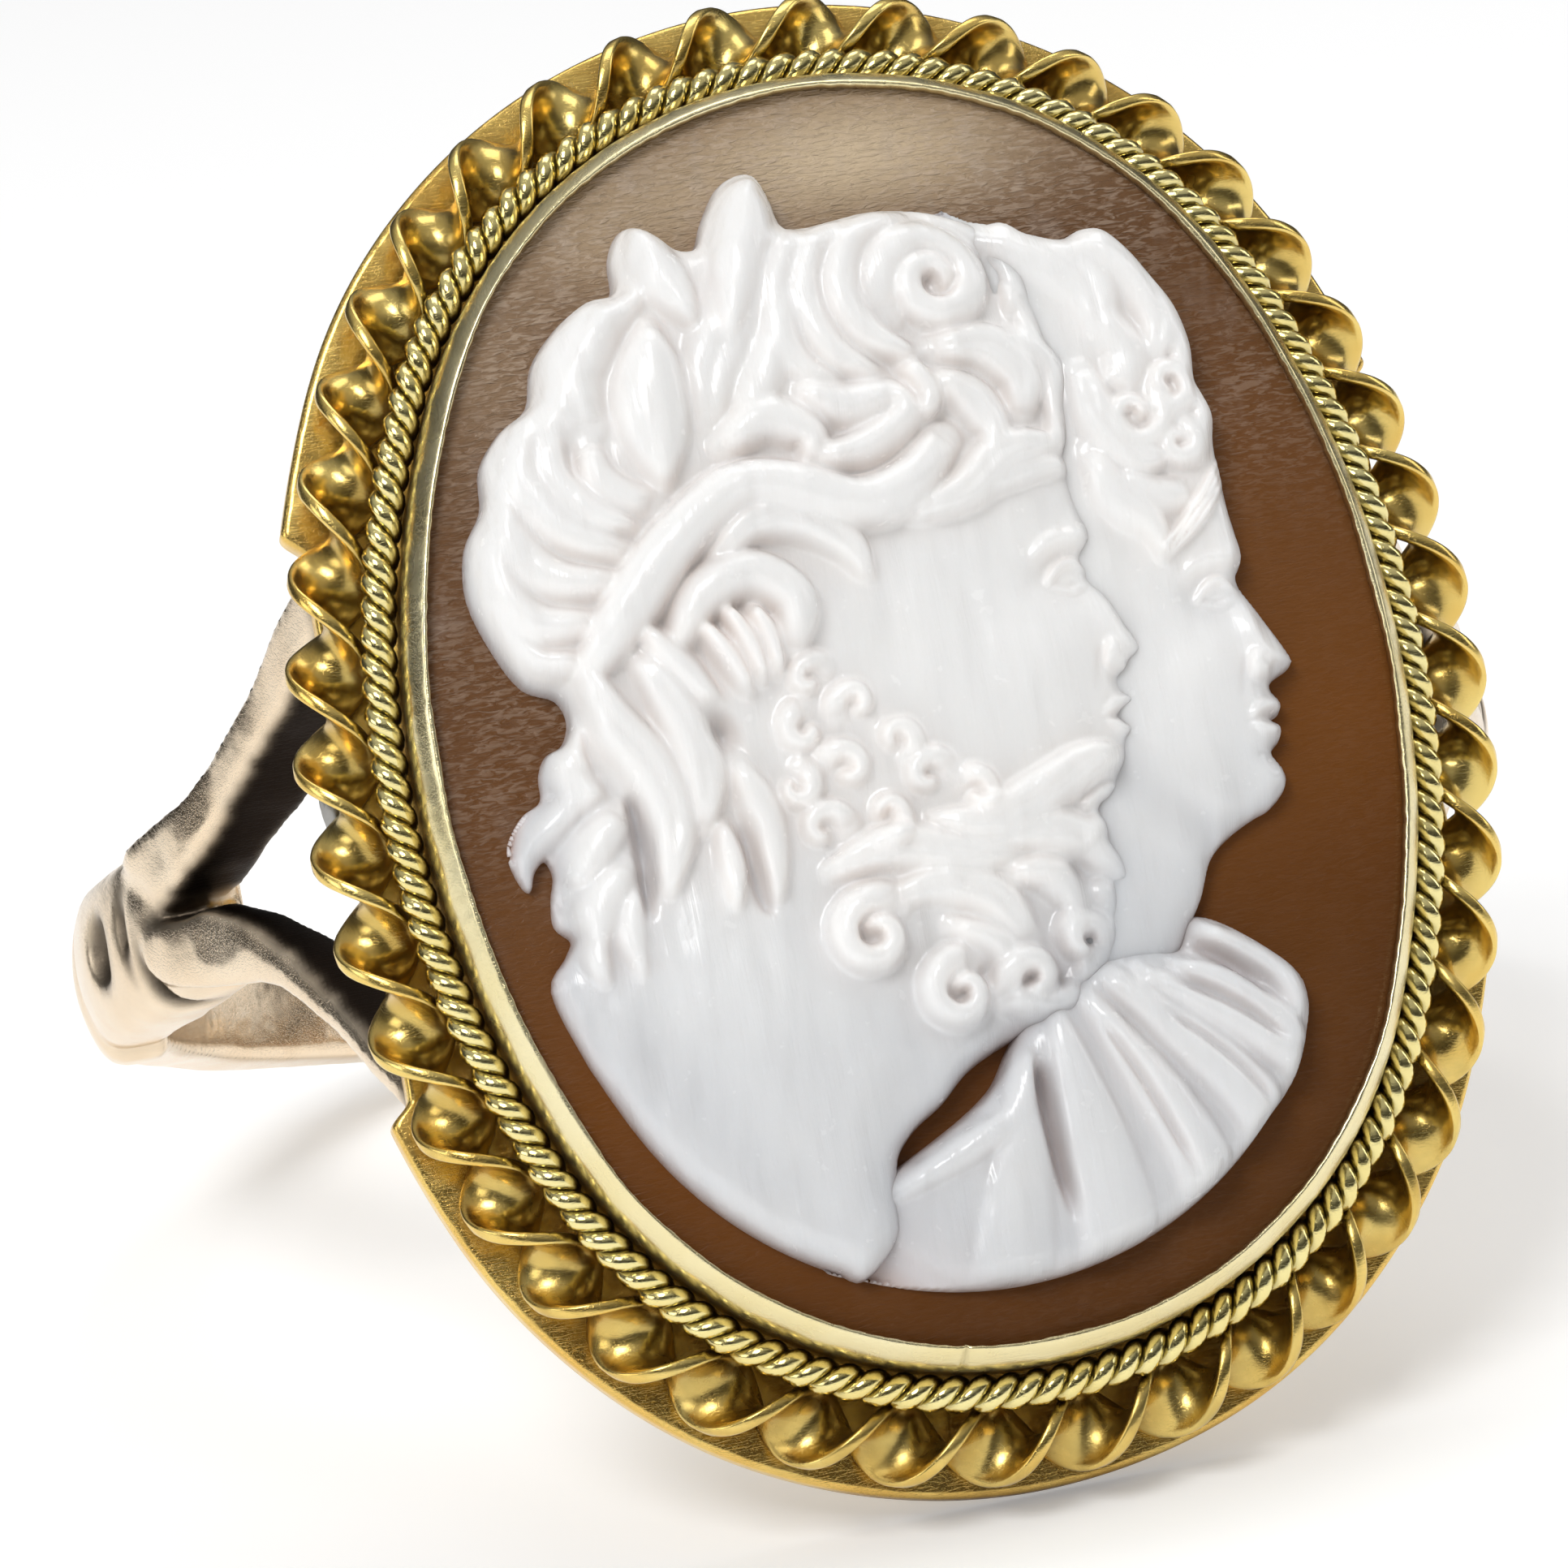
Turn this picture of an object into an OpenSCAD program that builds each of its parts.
// Cameo ring: a forked shank carries an oval plate with a twisted ribbon, a rope of
// two wires and a smooth bezel round a carved shell of two heads.
// All sizes are in millimetres. The head is drawn upright first, with x across it,
// z up its long axis (the finger axis) and its face towards -y. The ring is then
// leaned back so that it rests on the tip of its plate and the back of its shank.

/* [Finger hole and shank] */

// Radius of the finger hole
finger_radius = 8.8; // [7.5:0.05:10.5]
// Thickness of the band
band_thick = 1.04; // [0.9:0.02:1.8]
// Width of the band at the back
band_width_back = 1.7; // [1.2:0.1:3]
// Width of the band where it meets the shoulders
band_width_shoulder = 2.3; // [1.6:0.1:3.5]
// Radius of the band's rounded outside, across its width
band_crown = 2.4; // [1.8:0.1:5]
// Width of the knuckle where the fork begins
knuckle_width = 2.6; // [2:0.1:4]
// Thickness of the knuckle
knuckle_thick = 1.24; // [1.1:0.02:2.2]
// Angle above the finger hole's middle at which the knuckle starts
knuckle_start = 1; // [-10:1:15]
// Angle at which the knuckle ends
knuckle_end = 28; // [20:1:40]
// Angle that the collar below the knuckle takes up
collar_angle = 5; // [2:0.5:10]
// How far the collar stands out from the band
collar_step = 0.1; // [0.05:0.01:0.4]

/* [Setting] */

// Distance of the end arcs' centres from the middle of the oval
oval_end_centre = 2.44; // [1.5:0.02:3.5]
// Distance of the side arcs' centres from the middle of the oval
oval_side_centre = 5.38; // [3.5:0.02:8]
// Radius of the end arcs at the bezel's inner edge
oval_end_radius = 5.38; // [4:0.02:7]
// Thickness of the base plate
plate_thick = 0.45; // [0.3:0.05:1]
// How far the plate runs out beyond the bezel's inner edge
plate_reach = 1.68; // [1.4:0.02:2.2]
// Half the plate's width where its sides are filed away under the ribbon
plate_side_trim = 6.8; // [6.7:0.02:7.4]
// Half the length of the filed sides
plate_trim_half = 3.6; // [3:0.05:4]
// Height of the bezel above the plate's underside
bezel_height = 2.47; // [1.8:0.02:3.5]
// Outer offset of the bezel wall at its foot
bezel_foot_out = 0.25; // [0.2:0.01:0.6]
// Outer offset of the bezel at its rim
bezel_rim_out = 0.2; // [0.15:0.01:0.4]
// Inner offset of the bezel wall
bezel_bore = 0.08; // [0.05:0.01:0.14]
// Height of the lip that is rubbed over the shell
bezel_lip = 0.2; // [0.1:0.01:0.4]

/* [Borders] */

// Half the width of the ribbon
ribbon_half_width = 0.53; // [0.35:0.01:0.7]
// Thickness of the ribbon
ribbon_thick = 0.15; // [0.08:0.01:0.3]
// Offset of the ribbon's middle from the bezel's inner edge
ribbon_offset = 1.05; // [0.9:0.01:1.3]
// Full turns of the ribbon round the oval, two crests to a turn
ribbon_turns = 22; // [12:1:30]
// Radius of the rope over both wires
rope_radius = 0.2; // [0.15:0.01:0.4]
// Offset of the rope's middle from the bezel's inner edge
rope_offset = 0.48; // [0.4:0.01:0.9]
// Height of the rope's middle above the plate's underside
rope_height = 1.54; // [0.8:0.01:2.2]
// Full turns of the rope round the oval, two wires to a turn
rope_turns = 72; // [40:1:100]

/* [Cameo] */

// Level of the shell's brown ground above the plate's underside
ground_level = 2.26; // [1.6:0.01:3]
// Height of the white relief at its foot
relief_foot = 0.26; // [0.1:0.01:0.6]
// Scale of the relief's rise above its foot
relief_rise = 1; // [0.5:0.05:1.5]
// Distance from the bezel's inner edge to the cut of the bust at its right end
bust_margin_right = 0.86; // [0.5:0.02:1.5]
// Distance from the bezel's inner edge to the cut of the bust at its left end
bust_margin_left = 0.5; // [0.4:0.02:1.5]

/* [Fit] */

// Gap left between pieces that aren't soldered
gap = 0.03; // [0.02:0.01:0.1]

/* [Hidden] */

eps = 0.2;
band_out = finger_radius + band_thick;
crown_drop = band_crown - sqrt(pow(band_crown, 2) - pow(band_width_back / 2, 2));
oval_turn = atan2(oval_end_centre, oval_side_centre);
oval_side_radius = oval_end_radius + norm([oval_end_centre, oval_side_centre]);
plate_half = oval_end_centre + oval_end_radius + plate_reach;
// The tip of the plate and the lower edge of the band's back are equally low.
lean = atan2(plate_half - band_width_back / 2,
             2 * finger_radius + band_thick - crown_drop);
lift = plate_half * cos(lean) - finger_radius * sin(lean);
// Reach of the bezel's rim and of the band's back, which the origin lies midway between
front_reach = (finger_radius + bezel_height) * cos(lean)
    + (plate_half - plate_reach + bezel_rim_out) * sin(lean);
back_reach = (band_out - crown_drop) * cos(lean) + band_width_back / 2 * sin(lean);
shift = (front_reach - back_reach) / 2;
ribbon_height = plate_thick + gap + ribbon_half_width;
turn_steps = 16;
rope_steps = 7;
// Where the cut of the bust starts and ends, as a share of the way round the oval
bust_cut = [0.955, 0.7];

// Shoulder seen along the finger axis, columns: height n, inner x, outer x
SHOULDER = [
    [3.3, 8.4, 9.3],
    [4.4, 7.9, 8.98],
    [5.1, 7.6, 8.6],
    [5.7, 7.15, 8.15],
    [6.6, 6.75, 7.65],
    [7.2, 6.5, 7.33],
    [9.1, 5.9, 6.6]
];
// Fork arms seen from the side, columns: height n, edge near the fork, outer edge
UPPER_ARM = [
    [3.1, -0.3, 1.05],
    [4.4, 0.15, 1.3],
    [5.1, 0.42, 1.45],
    [5.7, 0.8, 1.8],
    [6.6, 1.25, 2.3],
    [7.9, 2.05, 3.25],
    [9.1, 3.0, 4.15]
];
LOWER_ARM = [
    [3.1, -0.25, 0.85],
    [4.4, 0.0, 0.95],
    [5.1, 0.15, 1.0],
    [5.7, 0.5, 1.15],
    [6.6, 0.95, 1.55],
    [7.2, 1.35, 2.0],
    [7.9, 2.0, 2.6],
    [9.1, 3.4, 3.9]
];

// Edge of the rear head's profile, columns: x, z. A plain profile in equal thirds.
PROFILE_EDGE = [
    [4.06, 2.9], [4.1, 2.25], [4.24, 1.5], [4.26, 0.9], [4.1, 0.62], [4.34, 0.1],
    [4.62, -0.45], [4.26, -0.66], [4.3, -0.96], [4.13, -1.14], [4.2, -1.34],
    [4.0, -1.54], [4.06, -1.86], [3.72, -2.2], [3.1, -2.42], [2.85, -2.95]
];
// Edge of the drapery at the right, columns: x, z
DRAPE_EDGE = [
    [3.0, -3.28], [3.6, -3.72], [3.93, -4.2], [3.86, -4.75]
];
// Edge of the curls at the nape, columns: x, z
NAPE_EDGE = [
    [-5.06, -2.66], [-4.8, -2.2], [-4.85, -1.7], [-5.18, -1.15],
    [-5.1, -0.72], [-4.66, -0.36], [-4.5, 0.1], [-4.32, 0.72]
];
// Edge of the hair from back to front with the wreath's two tips, columns: x, z
HAIR_EDGE = [
    [-4.72, 1.08], [-5.14, 2.2], [-4.96, 3.0], [-4.62, 3.9], [-4.0, 4.4],
    [-3.76, 4.95], [-3.3, 5.4], [-2.74, 5.62], [-2.62, 6.12], [-2.34, 6.38],
    [-2.0, 6.14], [-1.62, 6.02], [-1.34, 6.45], [-0.98, 6.8], [-0.64, 6.7],
    [-0.48, 6.12], [0.5, 6.1], [1.4, 5.94], [2.2, 5.6], [2.8, 5.36],
    [3.34, 5.44], [3.74, 5.0], [4.04, 4.3], [4.14, 3.6]
];
// Masses of the relief, columns: x, z, half length, half width, turn, foot, rise
MASSES = [
    // rear head: skull, face, cheek, brow, nose, lips, chin, neck
    [2.9, 3.0, 2.7, 1.9, 95, 0.12, 0.42],
    [3.0, 0.1, 2.6, 1.5, 95, 0.14, 0.36],
    [3.4, -0.5, 1.1, 0.8, 70, 0.2, 0.36],
    [3.95, 1.05, 0.75, 0.3, 20, 0.2, 0.3],
    [4.25, -0.05, 0.75, 0.25, 115, 0.2, 0.28],
    [4.02, -1.1, 0.42, 0.34, 0, 0.2, 0.24],
    [3.66, -1.8, 0.52, 0.44, 0, 0.2, 0.28],
    [2.2, -2.6, 2.0, 1.3, 70, 0.16, 0.3],
    // rear head: hair
    [3.3, 4.7, 0.95, 0.62, 130, 0.22, 0.46],
    [3.55, 3.75, 0.85, 0.55, 105, 0.22, 0.46],
    [3.35, 2.75, 0.9, 0.5, 80, 0.22, 0.48],
    [2.7, 5.0, 0.8, 0.42, 20, 0.22, 0.44],
    [3.0, 3.9, 0.9, 0.36, 125, 0.24, 0.46],
    [3.7, 1.95, 0.62, 0.34, 35, 0.22, 0.42],
    // front head: skull, face, cheek, brow, nose, neck, shoulder
    [-1.3, 2.5, 3.9, 3.5, 80, 0.14, 0.66],
    [0.6, 0.6, 3.1, 2.15, 85, 0.2, 0.62],
    [0.55, 0.15, 1.3, 1.0, 60, 0.3, 0.66],
    [1.7, 1.75, 0.95, 0.42, 25, 0.34, 0.6],
    [2.3, 0.6, 0.95, 0.34, 115, 0.34, 0.56],
    [-2.1, -2.6, 3.4, 2.4, 75, 0.1, 0.44],
    [-1.6, -5.0, 3.9, 2.3, 155, 0.04, 0.3],
    // front head: beard
    [1.1, -1.15, 1.25, 0.42, 18, 0.34, 0.6],
    [-0.2, -1.9, 1.5, 1.1, 15, 0.3, 0.62],
    [0.9, -2.3, 1.3, 0.9, 25, 0.32, 0.62],
    [-0.9, -2.9, 0.75, 0.6, 60, 0.34, 0.6],
    [0.05, -3.35, 0.8, 0.6, 100, 0.34, 0.58],
    [1.05, -3.3, 0.8, 0.62, 60, 0.34, 0.58],
    [1.8, -2.7, 0.7, 0.5, 60, 0.32, 0.56],
    // front head: ear, locks over the ear and down the nape
    [-2.0, 0.7, 0.9, 0.55, 70, 0.36, 0.68],
    [-2.5, -0.3, 1.2, 0.5, 80, 0.32, 0.56],
    [-3.5, -0.2, 1.3, 0.5, 75, 0.26, 0.5],
    [-4.3, -0.9, 0.9, 0.42, 50, 0.22, 0.4],
    [-4.5, -1.7, 0.7, 0.36, 110, 0.2, 0.36],
    [-3.6, -1.5, 0.9, 0.4, 95, 0.22, 0.42],
    // front head: hair
    [-4.2, 1.8, 1.2, 0.75, 125, 0.3, 0.5],
    [-4.1, 3.0, 1.3, 0.72, 60, 0.3, 0.54],
    [-3.1, 4.0, 1.5, 0.75, 50, 0.34, 0.58],
    [-3.0, 2.4, 1.6, 0.7, 55, 0.38, 0.6],
    [-1.9, 3.2, 1.6, 0.6, 50, 0.42, 0.6],
    [-2.3, 5.3, 1.2, 0.5, 60, 0.34, 0.5],
    [-0.9, 5.9, 1.1, 0.42, 80, 0.36, 0.5],
    [-1.1, 4.6, 1.5, 0.6, 65, 0.4, 0.6],
    [-0.4, 2.9, 1.7, 0.62, 15, 0.42, 0.62],
    [1.0, 5.1, 1.1, 0.85, 0, 0.4, 0.62],
    [2.0, 4.4, 1.1, 0.6, 120, 0.36, 0.56],
    [0.7, 3.7, 1.6, 0.6, 20, 0.4, 0.62],
    [1.9, 3.1, 1.0, 0.5, 40, 0.36, 0.56],
    [-3.3, 1.2, 1.1, 0.52, 50, 0.32, 0.54],
    [-1.9, 1.9, 1.2, 0.46, 35, 0.4, 0.6],
    [-0.5, 4.0, 1.3, 0.5, 35, 0.4, 0.6],
    [0.1, 5.6, 1.1, 0.42, 15, 0.34, 0.54],
    [0.5, 2.2, 1.5, 0.4, 15, 0.42, 0.6],
    // tips of the wreath
    [-2.4, 5.95, 0.6, 0.28, 100, 0.3, 0.44],
    [-0.95, 6.45, 0.6, 0.3, 100, 0.3, 0.44],
    // drapery: roll at the neck and folds
    [2.5, -3.7, 1.0, 0.4, 145, 0.24, 0.42],
    [3.2, -4.4, 1.1, 0.34, 130, 0.16, 0.34],
    [2.2, -5.0, 1.6, 0.34, 118, 0.16, 0.36],
    [1.1, -5.4, 1.6, 0.34, 100, 0.16, 0.36],
    [0.1, -5.6, 1.4, 0.36, 82, 0.14, 0.34],
    [-0.8, -6.1, 0.9, 0.36, 70, 0.12, 0.3]
];

// A point of the four-arc oval, i from 0 to 1, as x, z and the angle of its outward side
function side_length(o) = 2 * (oval_side_radius + o) * oval_turn;
function end_length(o) = 2 * (oval_end_radius + o) * (90 - oval_turn);
function quarter(o) = side_length(o) + end_length(o);
function oval_point(i, o) =
    let (whole = 2 * quarter(o),
         along = (i - floor(i)) * whole,
         half = along < quarter(o) ? 0 : 1,
         rest = along - half * quarter(o),
         turn = rest < side_length(o)
             ? rest / (oval_side_radius + o) - oval_turn
             : oval_turn + (rest - side_length(o)) / (oval_end_radius + o),
         on_side = rest < side_length(o),
         r = (on_side ? oval_side_radius : oval_end_radius) + o,
         c = on_side ? [-oval_side_centre, 0] : [0, oval_end_centre],
         p = c + r * [cos(turn), sin(turn)],
         flip = half == 0 ? 1 : -1)
    [flip * p[0], flip * p[1], turn + 180 * half];

// Solid oval with its edge at offset o, from height lo to hi towards the face
module oval(o, lo, hi) {
    r_end = oval_end_radius + o;
    r_side = oval_side_radius + o;
    cut = oval_end_centre + r_end * sin(oval_turn);
    reach = r_end * cos(oval_turn);
    translate([0, -lo, 0])
    rotate([90, 0, 0])
    linear_extrude(height = hi - lo)
    union() {
        for (side = [-1, 1])
            intersection() {
                translate([0, side * oval_end_centre])
                circle(r = r_end, $fn = 180);
                translate([-r_end - 1, side > 0 ? cut : -cut - r_end - 1])
                square([2 * r_end + 2, r_end + 1]);
            }
        intersection() {
            translate([-oval_side_centre, 0])
            circle(r = r_side, $fn = 240);
            translate([oval_side_centre, 0])
            circle(r = r_side, $fn = 240);
            translate([-r_side, -cut])
            square([2 * r_side, 2 * cut]);
        }
    }
}

// A bar whose outline is a table of rows: along the finger axis, or seen from the side
module table_bar(rows, side, from_side) {
    outer = [for (row = rows) [side * row[2], row[0]]];
    inner = [for (i = [len(rows) - 1 : -1 : 0]) [side * rows[i][1], rows[i][0]]];
    points = concat(outer, inner);
    if (from_side)
        rotate([90, 0, 90])
        translate([0, 0, -12])
        linear_extrude(height = 24)
        polygon([for (p = points) [-p[1], p[0]]]);
    else
        translate([0, 0, -5])
        linear_extrude(height = 10)
        polygon([for (p = points) [p[0], -p[1]]]);
}

// Part of a ring round the finger axis, from angle a0 to a1 above the x axis
module sector(a0, a1, width, thick, crown) {
    // crown is the radius of the rounded outside
    r_out = finger_radius + thick;
    rotate([0, 0, -a1])
    rotate_extrude(angle = a1 - a0, $fn = 240)
    intersection() {
        translate([finger_radius, -width / 2])
        square([thick, width]);
        translate([r_out - crown, 0])
        circle(r = crown, $fn = 120);
    }
}

module band() {
    taper = [
        [12, -band_width_back / 2], [4, -band_width_back / 2],
        [-6, -band_width_shoulder / 2], [-6, band_width_shoulder / 2],
        [4, band_width_back / 2], [12, band_width_back / 2]
    ];
    intersection() {
        sector(-200, 20, band_width_shoulder, band_thick, band_crown);
        rotate([90, 0, 90])
        translate([0, 0, -12])
        linear_extrude(height = 24)
        polygon(taper);
    }
}

module shoulder(side) {
    scale([side, 1, 1]) {
        sector(knuckle_start, knuckle_end, knuckle_width, knuckle_thick, band_crown);
        sector(knuckle_start - collar_angle, knuckle_start + 1,
               band_width_shoulder + collar_step, band_thick + collar_step, band_crown);
        intersection() {
            table_bar(SHOULDER, 1, false);
            union() {
                table_bar(UPPER_ARM, 1, true);
                table_bar(LOWER_ARM, -1, true);
            }
        }
    }
}

module base_plate() {
    difference() {
        oval(plate_reach, finger_radius, finger_radius + plate_thick);
        for (side = [0, 1])
            mirror([side, 0, 0])
            translate([plate_side_trim, -20, -plate_trim_half])
            cube([5, 40, 2 * plate_trim_half]);
    }
}

module bezel() {
    foot = finger_radius + plate_thick / 2;
    below = finger_radius - 1;
    rope_top = finger_radius + rope_height + rope_radius;
    rim = finger_radius + bezel_height;
    difference() {
        union() {
            oval(bezel_foot_out, foot, rope_top);
            oval(bezel_rim_out, foot, rim);
        }
        oval(bezel_bore, below, rim - bezel_lip);
        oval(0, below, rim + 1);
    }
}

module gold_mount() {
    color([0.78, 0.62, 0.42])
    union() {
        band();
        shoulder(-1);
        shoulder(1);
        base_plate();
        bezel();
    }
}

// A closed tube swept round the oval, with a section that turns as it goes
module twisted_ring(section, turns, steps, o, height) {
    rows = turns * steps;
    m = len(section);
    points = [for (k = [0 : rows - 1])
        let (p = oval_point(k / rows, o), a = 360 * turns * k / rows)
        for (q = section)
        let (across = q[0] * cos(a) - q[1] * sin(a),
             up = q[0] * sin(a) + q[1] * cos(a))
        [p[0] + across * cos(p[2]), -finger_radius - height - up,
         p[1] + across * sin(p[2])]];
    faces = [for (k = [0 : rows - 1]) for (j = [0 : m - 1])
        let (a = k * m + j, b = k * m + (j + 1) % m,
             c = ((k + 1) % rows) * m + (j + 1) % m, d = ((k + 1) % rows) * m + j)
        for (face = [[a, b, c], [a, c, d]]) face];
    polyhedron(points = points, faces = faces, convexity = 10);
}

module ribbon_border() {
    w = ribbon_half_width;
    t = ribbon_thick / 2;
    color([0.8, 0.66, 0.36])
    twisted_ring([[w, -t], [w, t], [-w, t], [-w, -t]],
                 ribbon_turns, turn_steps, ribbon_offset, ribbon_height);
}

module rope_border() {
    r = rope_radius;
    color([0.84, 0.7, 0.36])
    twisted_ring([[r, 0], [0.5 * r, 0.55 * r], [-0.5 * r, 0.55 * r],
                  [-r, 0], [-0.5 * r, -0.55 * r], [0.5 * r, -0.55 * r]],
                 rope_turns, rope_steps, rope_offset, rope_height);
}

module cameo_ground() {
    lip_bottom = finger_radius + bezel_height - bezel_lip;
    color([0.33, 0.2, 0.11])
    union() {
        oval(bezel_bore - gap, finger_radius + plate_thick + gap, lip_bottom - gap);
        oval(-gap, finger_radius + plate_thick + gap, finger_radius + ground_level);
    }
}

// Height of one mass of the relief at x, z above the ground
function mass_height(row, x, z) =
    let (dx = x - row[0], dz = z - row[1],
         u = (dx * cos(row[4]) + dz * sin(row[4])) / row[2],
         w = (dz * cos(row[4]) - dx * sin(row[4])) / row[3],
         q = 1 - u * u - w * w)
    q <= 0 ? 0 : row[5] * min(1, 5 * q) + row[6] * pow(q, 0.62);
// The masses melt into each other: their heights' eighth powers are added up.
function relief_height(x, z) =
    let (fourth = [for (row = MASSES) pow(mass_height(row, x, z), 4)])
    max(relief_foot, relief_rise * pow(fourth * fourth, 1 / 8));

// Catmull-Rom curve through a closed list of points, at place t counted in points
function smooth(list, t) =
    let (n = len(list), i = floor(t), f = t - i,
         p0 = list[(i + n - 1) % n], p1 = list[i % n],
         p2 = list[(i + 1) % n], p3 = list[(i + 2) % n])
    0.5 * (2 * p1 + (p2 - p0) * f + (2 * p0 - 5 * p1 + 4 * p2 - p3) * f * f
           + (3 * p1 - p0 - 3 * p2 + p3) * f * f * f);

module cameo_relief() {
    // The cut of the bust runs parallel to the bezel.
    cut_rows = 9;
    cut_edge = [for (k = [0 : cut_rows - 1])
        let (f = k / (cut_rows - 1),
             margin = bust_margin_right + f * (bust_margin_left - bust_margin_right),
             p = oval_point(bust_cut[0] + f * (bust_cut[1] - bust_cut[0]), -margin))
        [p[0], p[1]]];
    edge = concat(PROFILE_EDGE, DRAPE_EDGE, cut_edge, NAPE_EDGE, HAIR_EDGE);
    n = 2 * len(edge);
    rings = 17;
    middle = [-0.3, -0.3];
    outline = [for (k = [0 : n - 1]) smooth(edge, k / 2)];
    level = finger_radius + ground_level + gap;
    top = [for (j = [0 : rings - 1]) for (k = [0 : n - 1])
        let (f = 1 - pow(j / rings, 0.85), p = middle + f * (outline[k] - middle))
        [p[0], -level - relief_height(p[0], p[1]), p[1]]];
    peak = [[middle[0], -level - relief_height(middle[0], middle[1]), middle[1]]];
    foot = [for (p = outline) [p[0], -level, p[1]]];
    points = concat(foot, top, peak);
    peak_at = (rings + 1) * n;
    faces = concat(
        [[for (k = [n - 1 : -1 : 0]) k]],
        [for (j = [0 : rings - 1]) for (k = [0 : n - 1])
            let (a = j * n + k, b = j * n + (k + 1) % n)
            for (face = [[a, b + n, a + n], [a, b, b + n]]) face],
        [for (k = [0 : n - 1]) [rings * n + k, rings * n + (k + 1) % n, peak_at]]);
    color([0.94, 0.93, 0.91])
    polyhedron(points = points, faces = faces, convexity = 10);
}

// Puts the upright head frame into its resting place
module rest() {
    translate([0, shift, lift])
    rotate([-lean, 0, 0])
    children();
}

rest() gold_mount();
rest() ribbon_border();
rest() rope_border();
rest() cameo_ground();
rest() cameo_relief();
